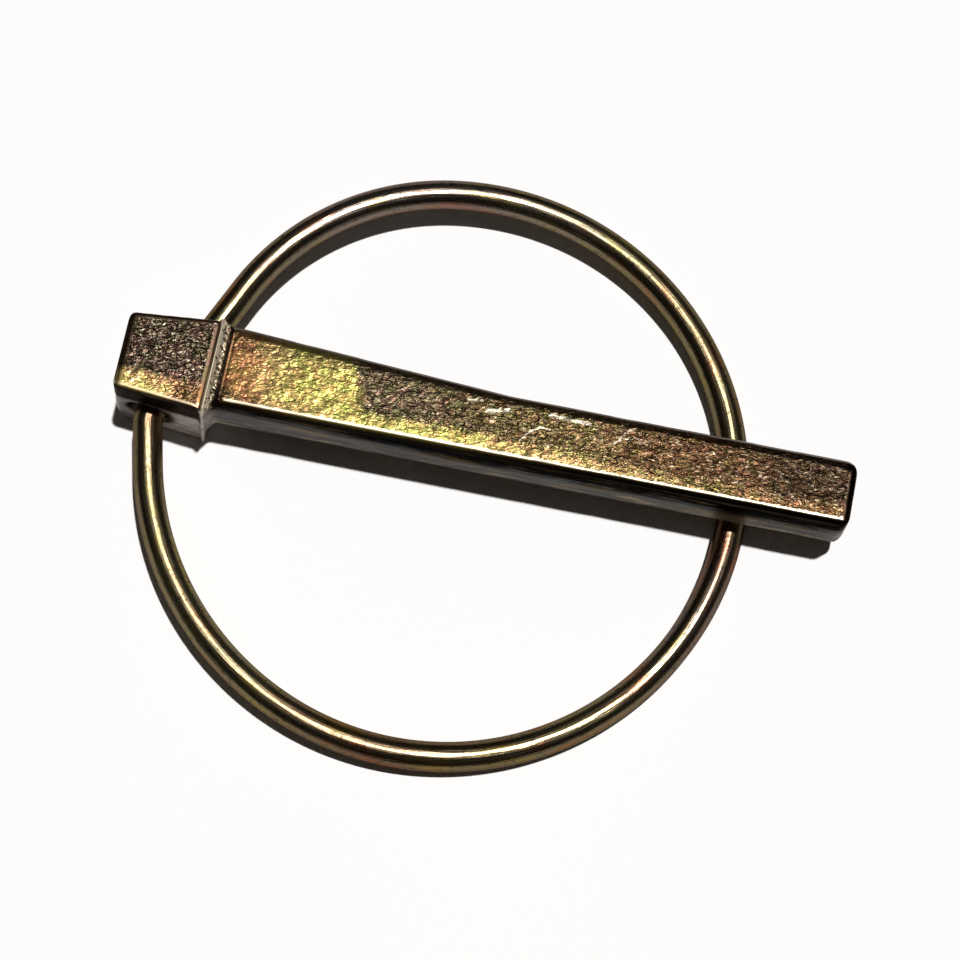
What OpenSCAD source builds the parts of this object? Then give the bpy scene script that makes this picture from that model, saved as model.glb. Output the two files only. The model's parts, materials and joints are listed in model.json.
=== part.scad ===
// Lynch pin: a forged square pin with a block head, and a spring ring hinged in a skewed cross hole.
// It lies as it rests: the head's base and the far side of the ring touch z = 0, the shank lies on the ring.
// +X runs along the shank from the head to the tip, +Z is up. Lengths are millimetres.

/* [Shank] */
// Side of the square shank
shank_side = 9.5; // [8.5:0.1:10.5]
// Length of the shank from the collar to the tip
shank_length = 85; // [76:1:100]
// Rounding of the shank's long edges
shank_edge_r = 1.2; // [0.6:0.1:2]
// Rounding of the upper long edge at the back, which the hammer left rounder
back_edge_r = 1.9; // [0.6:0.1:2.4]
// How far the neck swells out on the back at the collar
neck_swell = 2.3; // [0.5:0.1:3]
// Length over which the swelling runs out
neck_swell_length = 38; // [25:1:50]
// Front corner radius of the tip, seen from above
tip_front_r = 1.6; // [0.5:0.1:3]
// Back corner radius of the tip, seen from above
tip_back_r = 2.2; // [0.5:0.1:3]
// Rounding at the upper end of the tip
tip_top_r = 1.0; // [0.5:0.1:2]
// Rounding at the lower end of the tip
tip_base_r = 2.2; // [1:0.1:3]

/* [Head] */
// Length of the head along the pin
head_length = 12.3; // [11.5:0.1:15]
// Width of the head next to the collar
head_width = 13.1; // [12:0.1:14]
// Width of the head at its free end
head_end_width = 10.8; // [10:0.1:12]
// How far the head's middle lies behind the shank's middle
head_offset = 0.45; // [0:0.05:0.6]
// How far the head stands above the shank's upper face
head_rise = 0.5; // [0:0.1:1.5]
// Rounding of the head's edges along the pin
head_edge_r = 0.55; // [0.4:0.05:1.5]
// Rounding of the head's free end, above and at both sides
head_end_r = 1.1; // [0.5:0.1:2]
// Rounding of the head's free end at its base
head_base_r = 3.4; // [1:0.1:4]
// Angle at which the head leans back from the shank towards its base
head_lean = 5; // [0:0.5:7]

/* [Collar] */
// Length of the slope from the head down to the shank
collar_length = 1.9; // [1.4:0.1:3]
// Thickness of the forging fin round the collar
fin_thickness = 0.5; // [0.3:0.1:0.8]
// How far the fin stands out of the head
fin_height = 0.4; // [0.2:0.05:0.8]
// Radius of the fillet under the shank, behind the head
base_fillet_r = 2.6; // [1:0.1:3]

/* [Ring] */
// Diameter of the spring wire
wire_d = 4.0; // [3.6:0.1:4.2]
// Radius of the ring at the middle of the wire
ring_r = 39.3; // [37:0.1:41]
// How far the hinge axis lies inside the ring's circle
hinge_inset = 2.3; // [1.5:0.1:3]
// How far the ring's middle is shifted along the hinge axis
ring_shift = 11.0; // [9:0.5:13]
// Radius of the bend where the wire enters the front of the head
bend_r = 4.0; // [3:0.1:5]
// Angle of that bend
bend_angle = 37.5; // [30:0.5:40]
// Where the tighter upper run starts on the ring, from the line square to the hinge
upper_run_start = 124; // [110:1:135]
// Where the wider lower run starts on the ring, on the other side of that line
lower_run_start = 86; // [75:1:100]

/* [Hinge hole] */
// Angle in plan between the hinge hole and the shank
hinge_angle = 66.2; // [60:0.2:72]
// Height of the hinge hole above the head's base
hinge_height = 6.3; // [5.5:0.1:7]
// Distance of the hole's middle from the collar's foot
hinge_setback = 7.3; // [6.8:0.1:8]
// How far the hole's middle lies behind the shank's middle
hinge_offset = 0.35; // [0:0.05:0.6]
// Distance from the hole's middle to the bend's corner
bend_reach = 6.8; // [6.6:0.1:7.5]
// Running clearance round the wire
wire_clearance = 0.05; // [0.02:0.01:0.1]
// Gap between the wire's two ends inside the hole
end_gap = 1.2; // [0.6:0.1:2]
// How deep the hole's front mouth is opened out, from the bend's corner
mouth_depth = 1.9; // [1.5:0.1:2.2]
// Half angle of the front mouth
mouth_angle = 26; // [24:1:30]

/* [Rest] */
// Gap between the ring and the shank that lies on it
rest_gap = 0.12; // [0.05:0.01:0.3]

/* [Hidden] */
$fn = 64;
past = 0.5;
wire_r = wire_d / 2;
hole_r = wire_r + wire_clearance;

// The ring in the hinge's own frame: u square to the hinge axis, w along it
centre_u = ring_r - hinge_inset;
centre_w = ring_shift;
corner_w = -bend_reach;
upper_cos = cos(upper_run_start);
upper_r = (centre_u + ring_r * upper_cos) / (1 + upper_cos);
upper_w = centre_w + (ring_r - upper_r) * sin(upper_run_start);
lower_cos = cos(lower_run_start + bend_angle);
lower_r = (centre_u * cos(bend_angle) + (centre_w - corner_w) * sin(bend_angle) + ring_r * lower_cos)
    / (1 + lower_cos);
lower_u = centre_u + (ring_r - lower_r) * cos(lower_run_start);
lower_w = centre_w - (ring_r - lower_r) * sin(lower_run_start);
bend_tangent = bend_r * tan(bend_angle / 2);
bend_w = corner_w + bend_tangent;

// The ring tips down until its far side touches the ground
ring_tilt = asin((hinge_height - wire_r) / (centre_u + ring_r));
hinge_x = -hinge_setback;
hinge_y = hinge_offset;
ring_x = hinge_x + centre_u * cos(ring_tilt) * sin(hinge_angle) + centre_w * cos(hinge_angle);
ring_y = hinge_y - centre_u * cos(ring_tilt) * cos(hinge_angle) + centre_w * sin(hinge_angle);

// The shank lies on the ring where the wire crosses its lower rear edge
cross_y = shank_side / 2 - shank_edge_r;
cross_x = ring_x + sqrt(pow(ring_r, 2) - pow(cross_y - ring_y, 2));
cross_u = (cross_x - hinge_x) * sin(hinge_angle) - (cross_y - hinge_y) * cos(hinge_angle);
shank_base = hinge_height - cross_u * tan(ring_tilt) + wire_r / cos(ring_tilt) + rest_gap;
shank_top = shank_base + shank_side;
head_height = shank_top + head_rise;
head_inner = -collar_length;
slope_top = head_inner + fin_thickness;
head_outer = head_inner - head_length / cos(head_lean);
head_slip = head_height * tan(head_lean);
head_foot = head_outer - head_slip + head_base_r * ((1 + sin(head_lean)) / cos(head_lean) - 1);
head_taper = atan((head_width - head_end_width) / 2 / head_length);
swell_angle = atan(neck_swell / neck_swell_length);
mouth_w = corner_w + mouth_depth;
mouth_length = 4 * wire_r;

// Every second length of wire is a hair thinner and runs into its neighbours, which fuses them to one solid
splice_step = 0.01;
splice_lap = 0.15;

// The origin lies on the ground, in the middle of the whole part's box
middle_x = (head_foot + shank_length) / 2;
middle_y = ring_y;

// A rectangle whose corners have their own radii: lower left, lower right, upper right, upper left
module rounded_rectangle(x0, y0, x1, y1, radii) {
    corners = [[x0, y0, 1, 1], [x1, y0, -1, 1], [x1, y1, -1, -1], [x0, y1, 1, -1]];
    difference() {
        translate([x0, y0])
            square([x1 - x0, y1 - y0]);
        for (i = [0:3])
            corner_cut(corners[i], radii[i]);
    }
}

module corner_cut(corner, r) {
    if (r > 0)
        difference() {
            translate([corner[0] - (corner[2] < 0 ? r : past), corner[1] - (corner[3] < 0 ? r : past)])
                square(r + past);
            translate([corner[0] + corner[2] * r, corner[1] + corner[3] * r])
                circle(r);
        }
}

// Lifts a drawing in Y and Z to a bar along +X
module along_x(length) {
    rotate([90, 0, 90])
        linear_extrude(length)
            children();
}

// Lifts a drawing in X and Z to a slab centred on y = 0
module along_y(width) {
    translate([0, width / 2, 0])
        rotate([90, 0, 0])
            linear_extrude(width)
                children();
}

module shank_bar(length) {
    half = shank_side / 2;
    along_x(length)
        rounded_rectangle(-half, shank_base, half, shank_top,
            [shank_edge_r, shank_edge_r, back_edge_r, shank_edge_r]);
}

// The bar's end, rounded from above and from the side
module shank() {
    half = shank_side / 2;
    start = head_inner;
    intersection() {
        translate([start, 0, 0])
            shank_bar(shank_length - start);
        linear_extrude(shank_top + past)
            rounded_rectangle(start, -half, shank_length, half, [0, tip_front_r, tip_back_r, 0]);
        along_y(shank_side)
            rounded_rectangle(start, shank_base, shank_length, shank_top, [0, tip_base_r, tip_top_r, 0]);
    }
}

// A second bar turned in plan, whose rear face makes the swelling of the neck
module neck() {
    intersection() {
        translate([0, shank_side / 2 + neck_swell, 0])
            rotate([0, 0, -swell_angle])
                translate([0, -shank_side / 2, 0])
                    translate([-shank_side / 2, 0, 0])
                        shank_bar(neck_swell_length + shank_side);
        translate([head_inner, -shank_side / 2 + shank_edge_r, 0])
            cube([neck_swell_length - head_inner, shank_side + 2 * neck_swell, shank_top + past]);
    }
}

// One long side of the head, square to the ground, with its upper and lower edge rounded
module head_side() {
    reach = head_length + 2 * shank_side;
    translate([head_inner, head_width / 2, 0])
        rotate([0, 0, head_taper])
            translate([-reach, -2 * head_width, 0])
                along_x(reach + collar_length)
                    rounded_rectangle(0, 0, 2 * head_width, head_height, [0, head_edge_r, head_edge_r, 0]);
}

// The head's outline square to its lean, with its two free corners rounded
module head_plan() {
    free_end = head_inner - head_length;
    half_end = head_end_width / 2;
    half = half_end + (head_length + past) * tan(head_taper);
    difference() {
        polygon([[free_end, -half_end], [head_inner + past, -half], [head_inner + past, half],
            [free_end, half_end]]);
        head_corner(free_end);
        mirror([0, 1])
            head_corner(free_end);
    }
}

module head_corner(free_end) {
    edge = head_end_width / 2;
    centre = [free_end + head_end_r, edge + head_end_r * (tan(head_taper) - 1 / cos(head_taper))];
    tangent = centre + head_end_r * [-sin(head_taper), cos(head_taper)];
    difference() {
        polygon([centre, [free_end - past, centre[1]], [free_end - past, edge + past],
            [tangent[0], edge + past], tangent]);
        translate(centre)
            circle(head_end_r);
    }
}

module head() {
    translate([0, head_offset, 0])
        intersection() {
            head_side();
            mirror([0, 1, 0])
                head_side();
            leaned()
                translate([0, 0, -head_height])
                    linear_extrude(3 * head_height)
                        head_plan();
            along_y(2 * head_width)
                head_profile();
        }
}

// The head's outline from the side: both ends lean, and the free end is rounded above and at the base
module head_profile() {
    up = [sin(head_lean), cos(head_lean)];
    difference() {
        polygon([[head_outer - head_slip, 0], [head_inner - head_slip, 0], [head_inner, head_height],
            [head_outer, head_height]]);
        sharp_corner([head_outer - head_slip, 0], [1, 0], up, head_base_r);
        sharp_corner([head_outer, head_height], [1, 0], -up, head_end_r);
    }
}

// What a rounding of radius r takes off the corner at p, between edges that leave it along a and b
module sharp_corner(p, a, b, r) {
    half = acos(a * b) / 2;
    reach = r / tan(half);
    centre = p + (a + b) / norm(a + b) * r / sin(half);
    difference() {
        polygon([centre, p + reach * a, p - past * (a + b), p + reach * b]);
        translate(centre)
            circle(r);
    }
}

// Leans its children back, about the upper edge of the head's inner end
module leaned() {
    translate([head_inner, 0, head_height])
        rotate([0, head_lean, 0])
            translate([-head_inner, 0, -head_height])
                children();
}

// The slope from the head down to the shank, on its upper face and both sides
module collar() {
    front = head_offset - head_width / 2;
    rear = head_offset + head_width / 2;
    seat = head_inner - (head_height - shank_base) * tan(head_lean);
    intersection() {
        leaned()
            translate([0, 0, -past])
                linear_extrude(head_height + 2 * past)
                    polygon([[head_inner, front + head_edge_r], [slope_top, front],
                        [0, -shank_side / 2 + shank_edge_r / 2],
                        [0, shank_side / 2 + neck_swell - shank_edge_r / 2],
                        [slope_top, rear], [head_inner, rear - head_edge_r]]);
        along_y(3 * head_width)
            polygon([[seat, shank_base], [0, shank_base], [0, shank_top], [slope_top, head_height],
                [seat, head_height]]);
    }
    base_fillet();
}

// The hollow between the head and the shank's lower face
module base_fillet() {
    wall = slope_top - (head_height - shank_base + base_fillet_r) * tan(head_lean);
    foot = wall + base_fillet_r;
    along_y(shank_side - 2 * shank_edge_r)
        difference() {
            polygon([[wall - fin_thickness, shank_base + shank_edge_r],
                [wall - fin_thickness, shank_base - base_fillet_r], [wall, shank_base - base_fillet_r],
                [foot, shank_base], [foot, shank_base + shank_edge_r]]);
            translate([foot, shank_base - base_fillet_r])
                circle(base_fillet_r);
        }
}

// The thin fin that the forging dies leave round the head's inner end
module fin() {
    half = head_width / 2 + fin_height;
    top = head_height + fin_height;
    r = head_edge_r + fin_height;
    intersection() {
        leaned()
            translate([head_inner, head_offset, 0])
                along_x(fin_thickness)
                    rounded_rectangle(-half, -past, half, top, [0, 0, r, r]);
        along_y(4 * head_width)
            translate([head_outer - head_slip, 0])
                square([head_length + head_slip + collar_length, top + past]);
    }
}

// Puts its children in the hinge's frame: X square to the hinge axis, Y along it
module at_hinge() {
    translate([hinge_x, hinge_y, hinge_height])
        rotate([0, 0, hinge_angle - 90])
            children();
}

// The cross hole is drilled askew, so that the ring snaps over as it turns
module hinge_hole() {
    reach = 2 * head_width;
    at_hinge() {
        translate([0, -reach / 2, 0])
            rotate([-90, 0, 0])
                cylinder(h = reach, r = hole_r);
        translate([0, mouth_w, 0])
            rotate([90, 0, 0])
                cylinder(h = mouth_length, r1 = hole_r, r2 = hole_r + mouth_length * tan(mouth_angle));
    }
}

// One forging: head, collar, fin and shank, with the cross hole drilled through the head
module pin_body() {
    color([0.52, 0.43, 0.27])
        translate([-middle_x, -middle_y, 0])
            difference() {
                union() {
                    shank();
                    neck();
                    collar();
                    fin();
                    head();
                }
                hinge_hole();
            }
}

// A length of the ring's wire, bent to an arc about a centre. A thin one runs into its neighbours' ends
module wire_arc(centre, r, from, to, thin = false) {
    lap = thin ? splice_lap / r * 180 / PI : 0;
    translate([centre[0], centre[1], 0])
        rotate([0, 0, from - lap])
            rotate_extrude(angle = to - from + 2 * lap)
                translate([r, 0])
                    circle(thin ? wire_r - splice_step : wire_r);
}

module wire_straight(from, to) {
    run = to - from;
    translate([from[0], from[1], 0])
        rotate([-90, 0, atan2(run[1], run[0]) - 90])
            cylinder(h = norm(run), r = wire_r);
}

// One spring wire: a main run, a tighter upper run, a wider lower run, and two ends in the cross hole
module spring_ring() {
    lower_end = [lower_u, lower_w] - lower_r * [cos(bend_angle), sin(bend_angle)];
    bend_end = [bend_r, bend_w] - bend_r * [cos(bend_angle), sin(bend_angle)];
    color([0.55, 0.47, 0.28])
        translate([-middle_x, -middle_y, 0])
            at_hinge()
                rotate([0, ring_tilt, 0]) {
                    wire_arc([centre_u, centre_w], ring_r, -lower_run_start, upper_run_start);
                    wire_arc([upper_r, upper_w], upper_r, upper_run_start, 180, thin = true);
                    wire_arc([lower_u, lower_w], lower_r, 180 + bend_angle, 360 - lower_run_start, thin = true);
                    wire_arc([bend_r, bend_w], bend_r, 180, 180 + bend_angle, thin = true);
                    wire_straight([0, end_gap / 2], [0, upper_w]);
                    wire_straight([0, bend_w], [0, -end_gap / 2]);
                    wire_straight(bend_end, lower_end);
                }
}

pin_body();
spring_ring();
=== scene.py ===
"""The looks of a lynch pin: a forged, yellow-zinc pin with a spring ring hinged askew in its head.

Everything is in metres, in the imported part's own frame: +X runs along the shank from the head to the
tip, +Z is up, and the part lies on z = 0. Inside the mesh code lengths are millimetres.
"""

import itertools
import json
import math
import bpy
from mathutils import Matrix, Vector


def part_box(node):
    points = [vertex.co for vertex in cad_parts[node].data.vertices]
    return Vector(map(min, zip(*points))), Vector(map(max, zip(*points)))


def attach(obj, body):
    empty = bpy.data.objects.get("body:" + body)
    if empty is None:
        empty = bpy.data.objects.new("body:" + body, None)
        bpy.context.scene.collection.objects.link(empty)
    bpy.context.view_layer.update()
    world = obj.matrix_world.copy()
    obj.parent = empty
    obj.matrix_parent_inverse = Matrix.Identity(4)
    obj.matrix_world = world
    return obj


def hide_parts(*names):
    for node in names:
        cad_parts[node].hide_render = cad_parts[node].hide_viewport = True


bl_info = {
    "name": "Lynch Pin",
    "version": (1, 0, 0),
    "blender": (4, 5, 0),
    "location": "3D View > Sidebar > Lynch Pin",
    "description": "Builds a forged lynch pin with its spring ring, and the stage that it lies on",
    "category": "Object",
}

import bmesh
import bpy
import numpy as np
from bpy.props import FloatProperty, FloatVectorProperty, IntProperty, PointerProperty
from mathutils import Matrix, Vector

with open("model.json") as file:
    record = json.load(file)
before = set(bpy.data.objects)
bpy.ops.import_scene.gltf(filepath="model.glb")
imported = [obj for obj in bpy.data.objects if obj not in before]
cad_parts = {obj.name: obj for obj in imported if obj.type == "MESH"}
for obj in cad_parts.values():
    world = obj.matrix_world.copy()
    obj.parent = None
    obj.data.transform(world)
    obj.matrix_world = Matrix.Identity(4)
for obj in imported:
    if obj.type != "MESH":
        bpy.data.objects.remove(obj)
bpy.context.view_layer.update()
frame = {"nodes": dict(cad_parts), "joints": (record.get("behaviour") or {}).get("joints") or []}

MM = 0.001
HINGE = frame["joints"][0]
PIN_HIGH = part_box("pin_body")[1]

# The pin's own places in millimetres: x = 0 at the collar's foot, y = 0 in the shank's middle
SHANK_LENGTH = 85.0
COLLAR_FOOT_X = PIN_HIGH.x / MM - SHANK_LENGTH
HEAD_INNER_X = -1.9
SHANK_TOP = 14.03447
SHANK_BASE = 4.53447
SHANK_MIDDLE_Y = 4.49289

# Passes that smooth the forging's even mesh and the measure of how much it bends
MESH_PASSES = 4
BEND_PASSES = 10
FLAT_PASSES = 3


def colour_property(name, description, default):
    return FloatVectorProperty(
        name=name, description=description, default=default, subtype="COLOR", size=3, min=0.0, max=1.0
    )


def length_property(name, description, millimetres):
    return FloatProperty(
        name=name, description=description, default=millimetres * MM, subtype="DISTANCE",
        unit="LENGTH", min=0.0, precision=6,
    )


class LynchPinForging(bpy.types.PropertyGroup):
    """Sizes of the forged pin's surface"""

    pitch: length_property("Mesh Pitch", "Size of one face of the forging's mesh", 0.225)
    wave_depth: length_property("Wave Depth", "Depth of the long waves that the hammer leaves", 0.09)
    dent_depth: length_property("Dent Depth", "Depth of the shallow dents of the scale", 0.05)
    grain_depth: length_property("Grain Depth", "Depth of the fine grain of the rough faces", 0.03)
    valley_depth: length_property("Valley Depth", "Depth of the groove between the head and the fin", 0.22)
    bore_radius: length_property("Bore Radius", "Radius kept clear round the wire", 2.12)


class LynchPinRing(bpy.types.PropertyGroup):
    """Sizes of the spring ring's wire"""

    wire_diameter: length_property("Wire Diameter", "Diameter of the spring wire", 4.0)
    ring_radius: length_property("Ring Radius", "Radius of the ring at the middle of the wire", 39.3)
    hinge_inset: length_property("Hinge Inset", "How far the hinge axis lies inside the circle", 2.3)
    ring_shift: length_property("Ring Shift", "How far the ring is shifted along the hinge", 11.0)
    bend_radius: length_property("Bend Radius", "Radius of the bend at the front of the head", 4.0)
    bend_reach: length_property("Bend Reach", "Distance from the hinge's middle to the bend", 6.8)
    end_gap: length_property("End Gap", "Gap between the wire's ends inside the head", 1.2)
    spacing: length_property("Spacing", "Length of one face of the wire", 0.35)
    sides: IntProperty(name="Sides", description="Faces round the wire", default=48, min=12, max=96)
    bend_angle: FloatProperty(
        name="Bend Angle", description="Angle of that bend", default=math.radians(37.5), subtype="ANGLE"
    )
    upper_start: FloatProperty(
        name="Upper Run", description="Where the tighter upper run starts", default=math.radians(124),
        subtype="ANGLE",
    )
    lower_start: FloatProperty(
        name="Lower Run", description="Where the wider lower run starts", default=math.radians(86),
        subtype="ANGLE",
    )


class LynchPinFinish(bpy.types.PropertyGroup):
    """Colours of the yellow zinc"""

    straw: colour_property("Straw", "Pale yellow zinc", (0.262, 0.183, 0.072))
    lime: colour_property("Lime", "Green-yellow zinc", (0.268, 0.226, 0.066))
    copper: colour_property("Copper", "Orange-pink zinc", (0.215, 0.112, 0.046))
    olive: colour_property("Olive", "Dull grey-green zinc", (0.076, 0.055, 0.031))
    umber: colour_property("Umber", "Dark brown zinc", (0.047, 0.032, 0.021))
    # The mauve colour is also painted as a reflection along the back top edge.
    mauve: colour_property("Mauve", "Grey-pink zinc of the sides", (0.23, 0.190, 0.165))
    # This nearly black colour is painted shade: it is laid in the hollows, in the crease at the collar's
    # foot, round the bore, under the top edges and on the rims.
    painted_shade: colour_property("Soot", "Nearly black scale", (0.010, 0.008, 0.007))
    # The glint colour is bare metal in the scratches, and painted glints on the grain's crests; its cream
    # copy is painted highlight.
    glint: colour_property("Glint", "Bare bright metal", (0.80, 0.74, 0.60))
    wire: colour_property("Wire", "Drawn wire under its zinc", (0.175, 0.150, 0.092))


class LynchPinStage(bpy.types.PropertyGroup):
    """Floor, lamps and camera"""

    floor: colour_property("Floor", "Colour of the pale floor", (0.90, 0.905, 0.92))
    key_strength: FloatProperty(name="Key Lamp", description="Strength of the key lamp", default=3.42)
    soft_power: FloatProperty(
        name="Soft Lamp", description="Power of the large soft lamp", default=0.12, unit="POWER"
    )
    fill: FloatProperty(name="Fill", description="Strength of the light all round", default=0.012)
    lens: FloatProperty(name="Lens", description="Focal length in millimetres", default=96.83)


def pin_places(co):
    """Vertices in millimetres, measured from the collar's foot and the shank's middle line."""
    places = co / MM
    places[:, 0] -= COLLAR_FOOT_X
    places[:, 1] -= SHANK_MIDDLE_Y
    return places


def smooth_step(values, low, high):
    t = np.clip((values - low) / (high - low), 0.0, 1.0)
    return t * t * (3 - 2 * t)


def bump(values, middle, half_width):
    """1 in the middle, 0 from half a width away."""
    return smooth_step(half_width - np.abs(values - middle), 0.0, half_width)


def lattice_noise(points, size, seed):
    """Smooth noise between -1 and 1, with about one bump for each size."""
    scaled = points / size
    cell = np.floor(scaled).astype(np.int64)
    part = scaled - cell
    ease = part * part * part * (part * (part * 6 - 15) + 10)
    total = np.zeros(len(points))
    for corner in itertools.product((0, 1), repeat=3):
        key = (cell + corner) * (73856093, 19349663, 83492791)
        mixed = (key[:, 0] ^ key[:, 1] ^ key[:, 2]) + seed * 7919
        mixed = ((mixed ^ (mixed >> 13)) * 1274126177) & 0xFFFFFFFF
        mixed = ((mixed ^ (mixed >> 16)) * 2246822519) & 0xFFFFFFFF
        value = ((mixed ^ (mixed >> 15)) & 0xFFFF) / 32767.5 - 1
        weight = np.where(corner, ease, 1 - ease).prod(axis=1)
        total += value * weight
    return total


def read_vertices(mesh, field="co"):
    source = mesh.vertices if field == "co" else mesh.vertex_normals
    values = np.empty(len(mesh.vertices) * 3)
    source.foreach_get("co" if field == "co" else "vector", values)
    return values.reshape(-1, 3)


def neighbour_mean(values, edges, counts):
    total = np.zeros_like(values)
    np.add.at(total, edges[:, 0], values[edges[:, 1]])
    np.add.at(total, edges[:, 1], values[edges[:, 0]])
    return total / (counts[:, None] if values.ndim == 2 else counts)


def remeshed_copy(node, name, pitch):
    """A copy of a CAD node's surface as even, small faces. It is done in millimetres, for precision."""
    mesh = frame["nodes"][node].data.copy()
    mesh.transform(Matrix.Scale(1 / MM, 4))
    welder = bmesh.new()
    welder.from_mesh(mesh)
    bmesh.ops.remove_doubles(welder, verts=welder.verts, dist=0.001)
    welder.to_mesh(mesh)
    welder.free()
    mesh.materials.clear()
    work = bpy.data.objects.new(name + "_work", mesh)
    bpy.context.scene.collection.objects.link(work)
    remesh = work.modifiers.new("Remesh", "REMESH")
    remesh.mode = "VOXEL"
    remesh.voxel_size = pitch / MM
    remesh.use_smooth_shade = True
    graph = bpy.context.evaluated_depsgraph_get()
    result = bpy.data.meshes.new_from_object(work.evaluated_get(graph), depsgraph=graph)
    bpy.data.objects.remove(work)
    bpy.data.meshes.remove(mesh)
    if not result.polygons:
        raise RuntimeError(f"the remesh of {node} came back empty")
    result.name = name
    result.transform(Matrix.Scale(MM, 4))
    return result


def store(mesh, name, values):
    attribute = mesh.attributes.new(name, "FLOAT", "POINT")
    attribute.data.foreach_set("value", np.ascontiguousarray(values, dtype=np.float32))


def hinge_distance(co):
    """Distance of points from the hinge axis, and the vectors from it, in millimetres."""
    axis = np.array(HINGE["axis"], float)
    axis /= np.linalg.norm(axis)
    offset = co / MM - np.array(HINGE["pos_m"], float) / MM
    radial = offset - (offset @ axis)[:, None] * axis
    return np.linalg.norm(radial, axis=1), radial, offset @ axis


def shape_forging(mesh, sizes):
    """Gives the even mesh its forged surface, and stores where it is flat, where hollow, and its facing."""
    edges = np.empty(len(mesh.edges) * 2, np.int32)
    mesh.edges.foreach_get("vertices", edges)
    edges = edges.reshape(-1, 2)
    counts = np.bincount(edges.ravel(), minlength=len(mesh.vertices)).astype(float)
    co = read_vertices(mesh)
    for _ in range(MESH_PASSES):
        co += 0.5 * (neighbour_mean(co, edges, counts) - co)
    mesh.vertices.foreach_set("co", co.ravel())
    mesh.update()
    normals = read_vertices(mesh, "normal")

    bend = -np.einsum("ij,ij->i", neighbour_mean(co, edges, counts) - co, normals) / (sizes.pitch**2)
    bend *= MM
    for done in range(1, BEND_PASSES + 1):
        bend += 0.6 * (neighbour_mean(bend, edges, counts) - bend)
        if done == FLAT_PASSES:
            flat = smooth_step(-np.abs(bend), -0.12, -0.05)
    store(mesh, "flat_face", flat)
    # hollow marks where the surface curves in, where the material lays painted shade.
    store(mesh, "hollow", smooth_step(-bend, 0.04, 0.25))
    store(mesh, "facing_up", normals[:, 2])
    store(mesh, "facing_front", -normals[:, 1])
    store(mesh, "facing_end", normals[:, 0])

    places = pin_places(co.copy())
    x, y, z = places.T
    distance, radial, along = hinge_distance(co)
    free = smooth_step(distance, 2.5, 3.3)
    # near_bore marks the head round the hinge bore, where the material lays painted shade.
    store(mesh, "near_bore", smooth_step(-distance, -4.0, -2.9))
    roughness = (0.3 + 0.7 * smooth_step(np.abs(normals[:, 2]), 0.5, 0.9)) * smooth_step(flat, 0.35, 1.0)
    depth = sizes.wave_depth / MM * 0.5 * (lattice_noise(places, 9.0, 1) - 0.6)
    depth += sizes.dent_depth / MM * np.minimum(lattice_noise(places * (0.7, 1, 1), 2.2, 2), 0)
    grain = lattice_noise(places * (0.55, 1, 1), 0.75, 3) + 0.4 * lattice_noise(places, 0.6, 4)
    depth += sizes.grain_depth / MM * roughness * (grain - 0.8)
    outside = smooth_step(z, SHANK_BASE - 1.0, SHANK_BASE)
    valley = bump(x, HEAD_INNER_X - 0.15, 0.55) * smooth_step(normals[:, 2], 0.2, 0.8)
    valley += 0.5 * bump(x, 0.15, 0.4) * smooth_step(z, SHANK_TOP - 0.6, SHANK_TOP - 0.2)
    depth -= sizes.valley_depth / MM * valley * outside
    co += normals * (depth * free * MM)[:, None]

    clear = sizes.bore_radius / MM
    inner = (distance < clear) & (np.abs(along) < 9.0)
    scale = clear / np.maximum(distance[inner], 0.5) - 1
    co[inner] += radial[inner] * scale[:, None] * MM
    mesh.vertices.foreach_set("co", co.ravel())
    mesh.update()


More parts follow.
